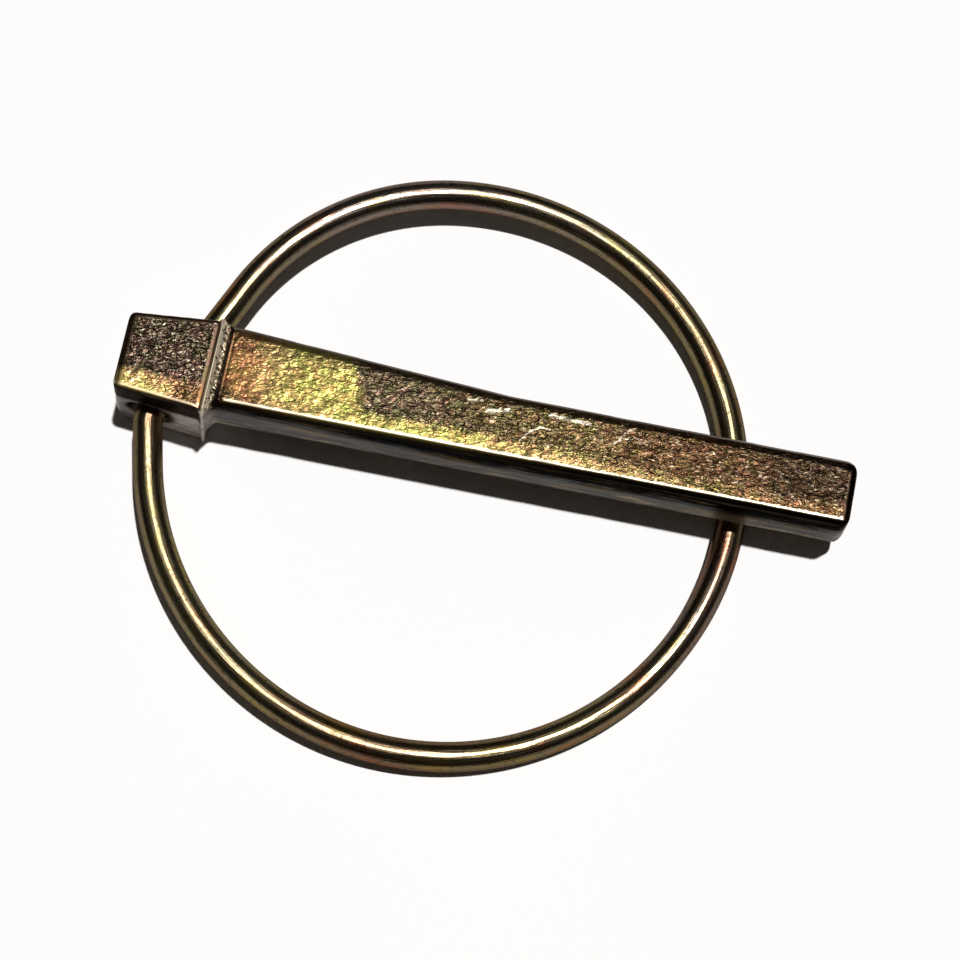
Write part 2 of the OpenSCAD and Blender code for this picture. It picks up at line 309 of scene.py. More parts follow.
class Nodes:
    """Adds nodes to one tree. Each input is a number, a colour or another node's socket."""

    def __init__(self, tree):
        self.tree = tree

    def add(self, kind, inputs=None, **settings):
        node = self.tree.nodes.new(kind)
        for name, value in settings.items():
            setattr(node, name, value)
        for name, value in (inputs or {}).items():
            socket = node.inputs[name]
            if isinstance(value, bpy.types.NodeSocket):
                self.tree.links.new(value, socket)
            else:
                socket.default_value = value
        return node

    def math(self, operation, a, b=0.0, clamp=False):
        node = self.add("ShaderNodeMath", {0: a, 1: b}, operation=operation, use_clamp=clamp)
        return node.outputs[0]

    def plus(self, a, b):
        return self.math("ADD", a, b)

    def minus(self, a, b):
        return self.math("SUBTRACT", a, b)

    def larger(self, a, b):
        return self.math("MAXIMUM", a, b)

    def mix(self, factor, a, b, blend_type="MIX"):
        node = self.add("ShaderNodeMix", {0: factor, 6: a, 7: b}, data_type="RGBA", blend_type=blend_type)
        return node.outputs[2]

    def step(self, value, low, high, to_low=0.0, to_high=1.0):
        """A soft step from one level to another, as the value goes from low to high."""
        inputs = {"Value": value, "From Min": low, "From Max": high, "To Min": to_low, "To Max": to_high}
        return self.add("ShaderNodeMapRange", inputs, interpolation_type="SMOOTHSTEP").outputs[0]

    def scale(self, colour, factor):
        node = self.add("ShaderNodeVectorMath", {0: colour, "Scale": factor}, operation="SCALE")
        return node.outputs[0]

    def stretched(self, vector, *factors):
        return self.add("ShaderNodeMapping", {"Vector": vector, "Scale": factors}).outputs[0]

    def both(self, *factors):
        """The product of masks and numbers."""
        product = factors[0]
        for factor in factors[1:]:
            product = self.math("MULTIPLY", product, factor)
        return product

    def off_segment(self, point, start, end):
        """Distance of a point from a straight line between two places on the top."""
        start, end = Vector((*start, 0)), Vector((*end, 0))
        run = end - start
        offset = self.vector("SUBTRACT", point, start)
        part = self.math("DIVIDE", self.vector("DOT_PRODUCT", offset, run, 1), run.length_squared, clamp=True)
        return self.vector("LENGTH", self.vector("SUBTRACT", offset, self.scale(run, part)), None, 1)

    def vector(self, operation, a, b=None, output=0):
        inputs = {0: a} if b is None else {0: a, 1: b}
        return self.add("ShaderNodeVectorMath", inputs, operation=operation).outputs[output]

    def noise(self, vector, scale, detail=2.0, roughness=0.5, distortion=0.0):
        inputs = {
            "Vector": vector, "Scale": scale, "Detail": detail, "Roughness": roughness,
            "Distortion": distortion,
        }
        return self.add("ShaderNodeTexNoise", inputs).outputs[0]

    def ramp(self, factor, stops):
        node = self.add("ShaderNodeValToRGB", {"Fac": factor})
        elements = node.color_ramp.elements
        while len(elements) < len(stops):
            elements.new(0.5)
        for element, (place, colour) in zip(elements, stops):
            element.position = place
            element.color = (*colour, 1.0)
        return node.outputs[0]

    def attribute(self, name, output="Fac"):
        """An attribute of the mesh, for a material."""
        return self.add("ShaderNodeAttribute", attribute_name=name).outputs[output]

    def named(self, name, kind):
        """An attribute of the geometry, for Geometry Nodes."""
        return self.add("GeometryNodeInputNamedAttribute", {"Name": name}, data_type=kind).outputs[0]


def new_material(name):
    material = bpy.data.materials.new(name)
    material.use_nodes = True
    material.node_tree.nodes.clear()
    return material, Nodes(material.node_tree)


# The tint of the shine at grazing angles, on the pin and on the wire
EDGE_TINT = (0.36, 0.33, 0.31, 1.0)
WIRE_EDGE_TINT = (0.40, 0.36, 0.36, 1.0)

# Depth in metres of the pin's grain and of the wire's draw marks
GRAIN_RELIEF = 0.26 * MM
DRAW_RELIEF = 0.14 * MM

# Bands along the pin: their length, how far behind the collar's foot they start, and how far they drift,
# all in millimetres, and how much they slant
BAND_SPAN = 100.0
BAND_START = 15.0
BAND_DRIFT = 7.0
BAND_SLANT = 0.22

# Each band: its place as a share of the span, its colour, and how bright that colour is there
TOP_BANDS = (
    (0.000, "umber", 1.00), (0.138, "copper", 0.95), (0.190, "copper", 1.15), (0.215, "straw", 1.05),
    (0.245, "lime", 0.86), (0.322, "lime", 0.86), (0.338, "olive", 0.75), (0.430, "olive", 0.75),
    (0.500, "straw", 0.17), (0.640, "straw", 0.24), (0.720, "copper", 0.20), (0.860, "copper", 0.15),
    (0.905, "copper", 0.075), (1.000, "copper", 0.07),
)
FRONT_BANDS = (
    (0.000, "straw", 2.30), (0.045, "straw", 2.30), (0.085, "copper", 0.85), (0.140, "copper", 0.36),
    (0.200, "copper", 0.42), (0.230, "straw", 0.90), (0.325, "lime", 1.00), (0.345, "lime", 1.00),
    (0.460, "lime", 0.90), (0.500, "straw", 0.90), (0.660, "straw", 0.60), (0.800, "straw", 0.34),
    (0.900, "copper", 0.32), (1.000, "copper", 0.35),
)

# Streaks on the sides, from their dark places to their bright ones
SHANK_STREAKS = ((0.34, "olive", 0.15), (0.46, "olive", 0.6), (0.56, "olive", 1.2), (0.66, "olive", 3.0))
HEAD_STREAKS = ((0.34, "mauve", 1.0), (0.60, "mauve", 2.5))

# Bands along the wire, from its upper end round to its lower one
WIRE_SPAN = 250.0
WIRE_DRIFT = 40.0
WIRE_BANDS = (
    (0.04, "wire", 1.00), (0.12, "mauve", 0.85), (0.22, "mauve", 0.765), (0.30, "wire", 1.00),
    (0.40, "wire", 0.90), (0.45, "umber", 2.80), (0.53, "mauve", 0.6375), (0.60, "wire", 1.00),
    (0.72, "umber", 3.08), (0.82, "wire", 1.15), (0.90, "wire", 1.15), (0.97, "umber", 2.80),
)

# Tints that wander over the top, over the shine of the sides and over the wire
TOP_TINTS = ((0.36, (1.18, 0.92, 1.05)), (0.50, (1.0, 1.0, 0.95)), (0.64, (0.86, 1.04, 0.78)))
SIDE_TINTS = ((0.36, (0.10, 0.085, 0.07)), (0.50, (0.26, 0.235, 0.205)), (0.66, (0.58, 0.53, 0.46)))
WIRE_TINTS = (
    (0.34, (1.32, 0.82, 0.66)), (0.45, (1.05, 0.96, 0.88)), (0.54, (1.0, 1.0, 0.92)),
    (0.64, (1.18, 1.08, 0.62)),
)

# Scratches on the top of the pin: the points of each in millimetres, half its width, and how much of the
# metal shows through
SCRATCHES = (
    (((35.5, 1.7), (38.2, 2.3)), 0.36, 0.75),
    (((32.6, 2.7), (34.4, 2.95)), 0.20, 0.75),
    (((43.7, 2.7), (49.1, 2.5)), 0.24, 1.0),
    (((40.4, -1.5), (41.6, 0.0), (42.8, 0.75), (44.6, 0.76)), 0.15, 0.55),
    (((52.7, 0.4), (54.0, 2.3), (55.1, 3.1)), 0.17, 0.40),
    (((54.1, 1.4), (55.5, 1.84), (56.9, 1.27)), 0.15, 0.35),
    (((-12.4, -4.6), (-10.9, -3.0)), 0.16, 0.6),
)


def shade(*colour, by=1.0):
    return tuple(min(1.0, channel * by) for channel in colour)


def opaque(colour):
    return (*colour, 1.0)


def bands(finish, table):
    """A ramp's stops, from a table of places, colour names and brightnesses."""
    return [(place, shade(*getattr(finish, name), by=by)) for place, name, by in table]


def finish_surface(nodes, inputs):
    surface = nodes.add("ShaderNodeBsdfPrincipled", inputs)
    nodes.add("ShaderNodeOutputMaterial", {"Surface": surface.outputs[0]})


class PinPlaces:
    """Where a point of the pin is, in millimetres, and which way its surface faces."""

    def __init__(self, nodes):
        place = nodes.add("ShaderNodeTexCoord").outputs["Object"]
        offset = (-COLLAR_FOOT_X, -SHANK_MIDDLE_Y, 0)
        inputs = {"Vector": place, "Location": offset, "Scale": (1 / MM,) * 3}
        self.point = nodes.add("ShaderNodeMapping", inputs).outputs[0]
        self.x, self.y, self.z = nodes.add("ShaderNodeSeparateXYZ", {0: self.point}).outputs
        self.up = nodes.attribute("facing_up")
        self.front = nodes.attribute("facing_front")
        self.end = nodes.attribute("facing_end")
        self.flat = nodes.attribute("flat_face")
        self.off_flat = nodes.minus(1.0, self.flat)
        self.on_top = nodes.both(nodes.step(self.up, 0.7, 0.95), self.flat)
        self.on_head = nodes.step(self.x, HEAD_INNER_X, HEAD_INNER_X - 0.4)
        self.tipward = nodes.step(self.x, 25.0, 60.0)


class Grain:
    """Crinkles that run along the pin, with painted glints on their crests and painted shade in the pits
    between them.
    """

    def __init__(self, nodes, pin, top):
        lengthwise = nodes.stretched(pin.point, 0.52, 1.0, 1.0)
        self.crease = nodes.noise(lengthwise, 1.65, 1.2, 0.5, 0.9)
        self.fine = nodes.noise(lengthwise, 2.7, 1.0, 0.5, 0.3)
        ridge = nodes.math("ABSOLUTE", nodes.minus(self.crease, 0.5))
        self.crinkle = nodes.step(ridge, 0.060, 0.0)
        luminance = nodes.add("ShaderNodeRGBToBW", {0: top}).outputs[0]
        on_shank = nodes.step(pin.x, -3.0, 1.0, 1.0, 0.7)
        self.strength = nodes.both(nodes.step(luminance, 0.045, 0.13, 1.0, 0.55), on_shank)

    def over(self, nodes, pin, finish, colour):
        """The colour with the grain's painted shade in the pits and its painted glints on the crests over it.
        """
        # Painted shade: the pits are darkened towards a third of their colour.
        pits = nodes.larger(nodes.step(self.crease, 0.46, 0.37), nodes.step(self.fine, 0.44, 0.34))
        dark = nodes.both(pits, pin.flat, self.strength, 0.72)
        colour = nodes.mix(dark, colour, nodes.scale(colour, 0.30))
        # Painted glints: the crests are lifted towards a brighter copy of their colour mixed with the glint
        # colour.
        crests = nodes.both(self.crinkle, nodes.step(self.fine, 0.42, 0.56))
        glint_share = nodes.plus(0.12, nodes.both(pin.on_head, 0.08))
        lifted = nodes.mix(glint_share, nodes.scale(colour, 2.1), opaque(finish.glint))
        return nodes.mix(nodes.both(crests, pin.on_top, self.strength, 0.85), colour, lifted)

    def relief(self, nodes, pin, scratched):
        """A normal that follows the grain on the flat faces, and hardly on the edges and scratches."""
        height = nodes.plus(self.crease, nodes.both(self.fine, 0.4))
        height = nodes.plus(height, nodes.both(self.crinkle, 0.08))
        facing = nodes.both(nodes.step(pin.flat, 0.35, 1.0), nodes.step(pin.up, 0.3, 0.9, 0.4, 1.0))
        facing = nodes.both(facing, self.strength, nodes.step(scratched, 0.1, 0.6, 1.0, 0.3))
        strength = nodes.plus(0.03, nodes.both(facing, 0.97))
        inputs = {"Strength": strength, "Distance": GRAIN_RELIEF, "Height": height}
        return nodes.add("ShaderNodeBump", inputs).outputs[0]


def top_colour(nodes, pin, finish):
    """Zinc in bands along the top, other bands beside the front edge, and a darker strip at the back."""
    drift = nodes.both(nodes.minus(nodes.noise(pin.point, 0.16, 3.0, 0.55), 0.5), BAND_DRIFT)
    slanted = nodes.plus(nodes.both(pin.y, BAND_SLANT), BAND_START)
    along = nodes.math("DIVIDE", nodes.plus(nodes.plus(pin.x, drift), slanted), BAND_SPAN)
    middle = nodes.ramp(along, bands(finish, TOP_BANDS))
    middle = nodes.mix(pin.on_head, middle, opaque(shade(*finish.umber, by=1.3)))
    front_band = nodes.ramp(along, bands(finish, FRONT_BANDS))

    across = nodes.plus(pin.y, nodes.both(nodes.noise(pin.point, 0.45, 3.0, 0.6, 0.4), 2.4))
    widened = nodes.both(nodes.step(pin.x, 17.0, 21.0), nodes.step(pin.x, 48.0, 36.0), 0.45)
    across = nodes.minus(across, widened)
    colour = nodes.mix(nodes.both(nodes.step(across, -0.2, -2.2), 0.9), middle, front_band)
    colour = nodes.mix(nodes.both(nodes.step(across, 3.2, 5.8), 0.45), colour, opaque(finish.umber))
    tint = nodes.ramp(nodes.noise(pin.point, 0.8, 3.0, 0.65), TOP_TINTS)
    return nodes.mix(1.0, colour, tint, "MULTIPLY")


def flank_colour(nodes, pin, finish, drawn):
    """The sides, streaked grey below with painted shade in black under the top edges and round the bore, and
    the mask of that painted shade.
    """
    shank = nodes.ramp(drawn, bands(finish, SHANK_STREAKS))
    shank = nodes.mix(nodes.step(pin.x, 40.0, 62.0, 0.0, 0.4), shank, nodes.scale(shank, 2.2))
    head = nodes.ramp(drawn, bands(finish, HEAD_STREAKS))
    head = nodes.mix(nodes.step(pin.x, -10.5, -9.0), nodes.scale(head, 0.4), head)
    colour = nodes.mix(nodes.step(pin.x, 0.0, -1.4), shank, head)

    # Painted shade: the sides turn black under the top edges of the shank and the head, and round the bore.
    level = nodes.plus(pin.z, nodes.both(nodes.minus(drawn, 0.5), 9.0))
    level = nodes.plus(level, nodes.step(pin.x, 28.0, 2.0, 0.0, -1.8))
    on_shank = nodes.both(nodes.step(level, 8.4, 11.4), nodes.step(pin.x, -1.6, -0.6), 0.96)
    on_head = nodes.both(nodes.step(pin.z, 8.8, 10.4), pin.on_head, 0.94)
    black = nodes.larger(nodes.larger(on_shank, on_head), nodes.both(nodes.attribute("near_bore"), 0.85))
    return nodes.mix(black, colour, opaque(finish.painted_shade)), black


def scratch_mask(nodes, pin, fine):
    level = nodes.add("ShaderNodeCombineXYZ", {0: pin.x, 1: pin.y}).outputs[0]
    mask = 0.0
    for points, width, bareness in SCRATCHES:
        for start, stop in zip(points, points[1:]):
            off = nodes.off_segment(level, start, stop)
            mask = nodes.larger(mask, nodes.step(off, width * 1.4, width * 0.1, 0.0, bareness))
    return nodes.both(mask, pin.on_top, nodes.step(fine, 0.30, 0.44))


def collar_masks(nodes, pin):
    """Masks of the collar's slope, of the painted glints on its gravel, of the painted highlight on the fin's
    crest and of the painted shade in the crease at its foot.
    """
    slope = nodes.both(nodes.step(pin.x, -1.85, -1.65), nodes.step(pin.x, -0.45, -0.70))
    slope = nodes.both(slope, nodes.step(pin.z, 12.5, 13.6))
    gravel = nodes.minus(nodes.noise(pin.point, 2.6, 2.0, 0.6, 0.5), nodes.both(pin.x, 0.16))
    bright = nodes.step(gravel, 0.56, 0.68)
    crest = nodes.both(nodes.step(pin.x, -2.02, -1.92), nodes.step(pin.x, -1.45, -1.68))
    crest = nodes.both(crest, nodes.step(pin.up, 0.7, 0.95), nodes.step(pin.y, 5.0, 0.0, 0.5, 1.0))
    foot_width = nodes.step(pin.y, 5.5, -5.0, 0.32, 0.85)
    foot = nodes.step(nodes.math("ABSOLUTE", nodes.plus(pin.x, 0.25)), foot_width, 0.15)
    return slope, bright, crest, nodes.both(foot, nodes.step(pin.z, 12.0, 13.0), 0.92)


def edge_masks(nodes, pin):
    """Masks of the front edge's painted highlight, and of the painted shade on the rims inside it and at the
    tip.
    """
    tilted = nodes.plus(pin.front, nodes.larger(pin.end, 0.0))
    leaning = nodes.minus(tilted, nodes.both(pin.tipward, 0.03))
    edge = nodes.both(nodes.step(leaning, 0.0, 0.045), nodes.step(tilted, 0.40, 0.22))
    edge = nodes.both(edge, nodes.step(pin.z, 12.6, 13.2), pin.off_flat)
    edge = nodes.both(edge, nodes.larger(nodes.step(pin.x, 0.3, 1.0), nodes.both(pin.on_head, 0.45)))
    edge = nodes.both(edge, nodes.step(pin.end, 0.03, 0.08, 1.0, 0.0))
    edge = nodes.both(edge, nodes.step(pin.tipward, 0.0, 1.0, 0.9, 0.48))
    inner_rim = nodes.both(nodes.step(pin.flat, 0.15, 0.45), nodes.step(pin.flat, 1.0, 0.80))
    inner_rim = nodes.both(inner_rim, nodes.step(pin.front, 0.0, 0.03), pin.tipward, 0.5)
    tip_rim = nodes.both(nodes.step(pin.end, 0.02, 0.07), pin.off_flat, 0.74)
    return edge, nodes.larger(inner_rim, tip_rim)


def forging_material(finish):
    """Rough yellow zinc in bands along the pin, with painted glints on its crinkles, painted shade in its
    pits, hollows and creases and under its top edges, and painted highlights on its front edge.
    """
    material, nodes = new_material("zinc_forging_finish")
    # The first colour is painted shade; the second is bare metal in the scratches and painted glints
    # elsewhere.
    painted_shade, glint = opaque(finish.painted_shade), opaque(finish.glint)
    # cream: a painted highlight colour, for the front edge, the fin's crest and the glints on the collar's
    # slope.
    cream = (glint[0], glint[1] * 0.92, glint[2] * 0.80, 1.0)
    pin = PinPlaces(nodes)
    drawn = nodes.noise(nodes.stretched(pin.point, 0.15, 1.0, 1.0), 0.9, 4.0, 0.6)
    top = top_colour(nodes, pin, finish)
    flank, black = flank_colour(nodes, pin, finish, drawn)
    top_share = nodes.step(pin.up, 0.62, 0.90)
    grain = Grain(nodes, pin, top)
    scratched = scratch_mask(nodes, pin, grain.fine)
    slope, slope_glints, crest, foot = collar_masks(nodes, pin)
    edge, rims = edge_masks(nodes, pin)
    # rear: the rounding along the back top edge, where a mauve line is painted as a reflection.
    rear = nodes.both(nodes.step(pin.front, -0.40, -0.62), nodes.step(pin.up, 0.80, 0.62))
    rear = nodes.both(rear, nodes.step(pin.up, 0.2, 0.4))

    colour = grain.over(nodes, pin, finish, nodes.mix(top_share, flank, top))
    # Painted shade in the hollows.
    colour = nodes.mix(nodes.both(nodes.attribute("hollow"), 0.8), colour, painted_shade)
    colour = nodes.mix(nodes.both(scratched, 0.34), colour, glint)
    # The collar's slope: dark umber with painted glints in cream, then painted shade in the crease at its
    # foot.
    colour = nodes.mix(nodes.both(slope, 0.85), colour, nodes.mix(slope_glints, opaque(finish.umber), cream))
    colour = nodes.mix(foot, colour, painted_shade)
    # Painted shade on the rims beside the front edge's highlight and along the tip's end.
    colour = nodes.mix(nodes.both(rims, top_share), colour, painted_shade)
    # Painted highlight in cream along the front edge and on the fin's crest.
    colour = nodes.mix(nodes.larger(edge, nodes.both(crest, 0.9)), colour, cream)
    # Painted reflection: a mauve line along the back top edge.
    colour = nodes.mix(nodes.both(rear, 0.8), colour, opaque(finish.mauve))

    side = nodes.minus(1.0, nodes.step(pin.up, 0.25, 0.6))
    dull = nodes.both(side, nodes.minus(1.0, black), nodes.step(pin.x, 0.0, -1.4, 0.5, 0.68))
    dull = nodes.larger(dull, nodes.both(pin.on_top, 0.16))
    dull = nodes.larger(dull, nodes.both(slope, slope_glints, 0.5))
    dull = nodes.larger(dull, nodes.both(crest, nodes.step(pin.y, 2.0, -1.5), 0.6))
    dull = nodes.larger(dull, nodes.both(rear, 0.3))
    shank_side = nodes.both(side, nodes.step(pin.x, -1.4, 0.0))
    polish = nodes.both(pin.off_flat, nodes.step(pin.tipward, 0.0, 1.0, -0.05, 0.13))
    rough = nodes.minus(nodes.plus(0.25, nodes.both(grain.fine, 0.12)), polish)
    rough = nodes.plus(rough, nodes.both(nodes.step(pin.end, 0.01, 0.06), pin.off_flat, 0.10))
    finish_surface(nodes, {
        "Base Color": colour, "Metallic": nodes.minus(1.0, dull), "Roughness": rough,
        "Normal": grain.relief(nodes, pin, scratched),
        "Specular Tint": nodes.mix(shank_side, EDGE_TINT, nodes.ramp(drawn, SIDE_TINTS)),
    })
    return material


def wire_material(finish):
    """Smooth drawn wire: yellow zinc whose hue drifts along its length, with specks and fine draw marks."""
    material, nodes = new_material("zinc_wire_finish")
    spot = nodes.attribute("wire_place", "Vector")
    walked = nodes.add("ShaderNodeSeparateXYZ", {0: spot}).outputs[2]
    drift = nodes.both(nodes.minus(nodes.noise(spot, 0.06, 3.0, 0.6), 0.5), WIRE_DRIFT)
    share = nodes.math("DIVIDE", nodes.plus(walked, drift), WIRE_SPAN)
    patch = nodes.noise(nodes.stretched(spot, 1.0, 1.0, 0.22), 0.42, 3.0, 0.6, 0.3)
    draw = nodes.noise(nodes.stretched(spot, 1.0, 1.0, 0.035), 1.9, 3.0, 0.6)
    speck = nodes.noise(spot, 1.9, 3.0, 0.6, 0.3)
    colour = nodes.ramp(share, bands(finish, WIRE_BANDS))
    colour = nodes.mix(1.0, colour, nodes.ramp(patch, WIRE_TINTS), "MULTIPLY")
    colour = nodes.mix(nodes.both(nodes.step(speck, 0.55, 0.68), 0.7), colour, nodes.scale(colour, 0.2))
    satin = nodes.both(nodes.step(share, 0.68, 0.76), nodes.step(share, 0.98, 0.93), 0.025)
    rough = nodes.plus(nodes.plus(0.20, nodes.both(draw, 0.15)), satin)
    height = nodes.plus(draw, nodes.both(speck, 0.25))
    relief = nodes.add("ShaderNodeBump", {"Strength": 0.5, "Distance": DRAW_RELIEF, "Height": height})
    finish_surface(nodes, {
        "Base Color": colour, "Metallic": 1.0, "Roughness": rough, "Normal": relief.outputs[0],
        "Specular Tint": WIRE_EDGE_TINT,
    })
    return material


def floor_material(stage):
    material, nodes = new_material("pale_floor")
    place = nodes.add("ShaderNodeTexCoord").outputs["Object"]
    mottle = nodes.noise(place, 6.0, 2.0)
    floor = tuple(stage.floor)
    colour = nodes.ramp(mottle, [(0.3, shade(*floor, by=0.985)), (0.7, floor)])
    surface = nodes.add(
        "ShaderNodeBsdfPrincipled", {"Base Color": colour, "Roughness": 0.95, "Specular IOR Level": 0.1}
    )
    nodes.add("ShaderNodeOutputMaterial", {"Surface": surface.outputs[0]})
    return material


def arc_points(centre, radius, start, end):
    steps = max(6, int(abs(end - start) * radius / 0.25))
    angles = np.linspace(start, end, steps + 1)
    return np.column_stack((centre[0] + radius * np.cos(angles), centre[1] + radius * np.sin(angles)))


def ring_path(sizes):
    """The wire's middle line in metres, from one end in the hinge hole round to the other."""
    radius, bend_radius = sizes.ring_radius / MM, sizes.bend_radius / MM
    bend, upper, lower = sizes.bend_angle, sizes.upper_start, sizes.lower_start
    centre = np.array((radius - sizes.hinge_inset / MM, sizes.ring_shift / MM))
    corner = -sizes.bend_reach / MM
    upper_radius = (centre[0] + radius * math.cos(upper)) / (1 + math.cos(upper))
    upper_centre = (upper_radius, centre[1] + (radius - upper_radius) * math.sin(upper))
    turn = math.cos(lower + bend)
    lower_radius = centre[0] * math.cos(bend) + (centre[1] - corner) * math.sin(bend) + radius * turn
    lower_radius /= 1 + turn
    gap = radius - lower_radius
    lower_centre = (centre[0] + gap * math.cos(lower), centre[1] - gap * math.sin(lower))
    bend_centre = (bend_radius, corner + bend_radius * math.tan(bend / 2))
    half_gap = sizes.end_gap / MM / 2
    flat = np.vstack((
        [(0, half_gap)],
        arc_points(upper_centre, upper_radius, math.pi, upper),
        arc_points(centre, radius, upper, -lower)[1:],
        arc_points(lower_centre, lower_radius, -lower, bend - math.pi)[1:],
        arc_points(bend_centre, bend_radius, bend - math.pi, -math.pi),
        [(0, -half_gap)],
    ))
    hinge = np.array(HINGE["pos_m"], float) / MM
    tilt = math.asin((hinge[2] - sizes.wire_diameter / MM / 2) / (centre[0] + radius))
    axis = Vector(HINGE["axis"]).normalized()
    across = Vector((axis.y, -axis.x, 0))
    across = across * math.cos(tilt) - Vector((0, 0, math.sin(tilt)))
    points = hinge + flat[:, :1] * np.array(across) + flat[:, 1:] * np.array(axis)
    return points * MM


# The wire's ends: the length of their chamfer in metres, and the share of the radius left at its end
END_CHAMFER = 0.4 * MM
END_SHARE = 0.82


def wire_tree(material):
    """Geometry Nodes that sweep a round wire along a path and note each point's place on it."""
    tree = bpy.data.node_groups.new("Swept Wire", "GeometryNodeTree")
    face = tree.interface
    face.new_socket("Geometry", in_out="INPUT", socket_type="NodeSocketGeometry")
    face.new_socket("Geometry", in_out="OUTPUT", socket_type="NodeSocketGeometry")
    radius = face.new_socket("Wire Radius", in_out="INPUT", socket_type="NodeSocketFloat")
    spacing = face.new_socket("Spacing", in_out="INPUT", socket_type="NodeSocketFloat")
    sides = face.new_socket("Sides", in_out="INPUT", socket_type="NodeSocketInt")
    chamfer = face.new_socket("End Chamfer", in_out="INPUT", socket_type="NodeSocketFloat")
    nodes = Nodes(tree)
    given = nodes.add("NodeGroupInput").outputs
    curve = nodes.add("GeometryNodeMeshToCurve", {0: given["Geometry"]}).outputs[0]
    even = nodes.add("GeometryNodeResampleCurve", {"Curve": curve, "Length": given["Spacing"]}, mode="LENGTH")
    walked = nodes.add("GeometryNodeSplineParameter").outputs["Length"]
    total = nodes.add("GeometryNodeSplineLength").outputs["Length"]
    from_end = nodes.math("MINIMUM", walked, nodes.minus(total, walked))
    inputs = {
        "Value": from_end, "From Min": 0.0, "From Max": given["End Chamfer"], "To Min": END_SHARE,
        "To Max": 1.0,
    }
    taper = nodes.add("ShaderNodeMapRange", inputs).outputs[0]
    wire_radius = nodes.both(taper, given["Wire Radius"])
    noted = nodes.add(
        "GeometryNodeStoreNamedAttribute", {"Geometry": even.outputs[0], "Name": "walked", "Value": walked},
        data_type="FLOAT", domain="POINT",
    )
    sized = nodes.add(
        "GeometryNodeStoreNamedAttribute",
        {"Geometry": noted.outputs[0], "Name": "wire_radius", "Value": wire_radius},
        data_type="FLOAT", domain="POINT",
    )
    circle = nodes.add("GeometryNodeCurvePrimitiveCircle", {"Resolution": given["Sides"], "Radius": 1.0})
    place = nodes.add("GeometryNodeInputPosition").outputs[0]
    ringed = nodes.add(
        "GeometryNodeStoreNamedAttribute",
        {"Geometry": circle.outputs["Curve"], "Name": "round_wire", "Value": place},
        data_type="FLOAT_VECTOR", domain="POINT",
    )
    scale = nodes.named("wire_radius", "FLOAT")
    swept = nodes.add(
        "GeometryNodeCurveToMesh",
        {"Curve": sized.outputs[0], "Profile Curve": ringed.outputs[0], "Scale": scale, "Fill Caps": True},
    )
    along = nodes.named("walked", "FLOAT")
    parts = nodes.add("ShaderNodeSeparateXYZ", {0: nodes.named("round_wire", "FLOAT_VECTOR")}).outputs
    millimetres = nodes.math("DIVIDE", given["Wire Radius"], MM)
    across = nodes.both(parts[0], millimetres)
    high = nodes.both(parts[1], millimetres)
    joined = nodes.add("ShaderNodeCombineXYZ", {0: across, 1: high, 2: nodes.math("DIVIDE", along, MM)})
    mapped = nodes.add(
        "GeometryNodeStoreNamedAttribute",
        {"Geometry": swept.outputs[0], "Name": "wire_place", "Value": joined.outputs[0]},
        data_type="FLOAT_VECTOR", domain="POINT",
    )
    smooth = nodes.add("GeometryNodeSetShadeSmooth", {"Geometry": mapped.outputs[0], "Shade Smooth": True})
    real = nodes.add("GeometryNodeRealizeInstances", {"Geometry": smooth.outputs[0]})
    painted = nodes.add("GeometryNodeSetMaterial", {"Geometry": real.outputs[0], "Material": material})
    nodes.add("NodeGroupOutput", {"Geometry": painted.outputs[0]})
    return tree, {"radius": radius, "spacing": spacing, "sides": sides, "chamfer": chamfer}


class OBJECT_OT_lynch_pin_forging(bpy.types.Operator):
    """Builds the forged pin over its CAD solid: head, collar, fin and shank in one piece"""

    bl_idname = "object.lynch_pin_forging"
    bl_label = "Build Forged Pin"

    def execute(self, context):
        sizes = context.scene.lynch_pin_forging
        mesh = remeshed_copy("pin_body", "forged_pin", sizes.pitch)
        shape_forging(mesh, sizes)
        mesh.materials.append(forging_material(context.scene.lynch_pin_finish))
        pin = bpy.data.objects.new("forged_pin", mesh)
        context.scene.collection.objects.link(pin)
        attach(pin, "pin")
        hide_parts("pin_body")
        return {"FINISHED"}


class OBJECT_OT_lynch_pin_ring(bpy.types.Operator):
    """Builds the spring ring: one wire, swept along its path by Geometry Nodes"""

    bl_idname = "object.lynch_pin_ring"
    bl_label = "Build Spring Ring"

    def execute(self, context):
        sizes = context.scene.lynch_pin_ring
        points = ring_path(sizes)
        path = bpy.data.meshes.new("ring_path")
        path.from_pydata(points.tolist(), [(i, i + 1) for i in range(len(points) - 1)], [])
        work = bpy.data.objects.new("ring_path", path)
        context.scene.collection.objects.link(work)
        tree, sockets = wire_tree(wire_material(context.scene.lynch_pin_finish))
        modifier = work.modifiers.new("Swept Wire", "NODES")
        modifier.node_group = tree
        modifier[sockets["radius"].identifier] = sizes.wire_diameter / 2
        modifier[sockets["spacing"].identifier] = sizes.spacing
        modifier[sockets["sides"].identifier] = sizes.sides
        modifier[sockets["chamfer"].identifier] = END_CHAMFER
        graph = context.evaluated_depsgraph_get()
        mesh = bpy.data.meshes.new_from_object(work.evaluated_get(graph), depsgraph=graph)
        bpy.data.objects.remove(work)
        if not mesh.polygons:
            raise RuntimeError("the swept wire came back empty")
        mesh.name = "zinc_wire_ring"
        ring = bpy.data.objects.new("zinc_wire_ring", mesh)
        context.scene.collection.objects.link(ring)
        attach(ring, "ring")
        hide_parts("spring_ring")
        return {"FINISHED"}


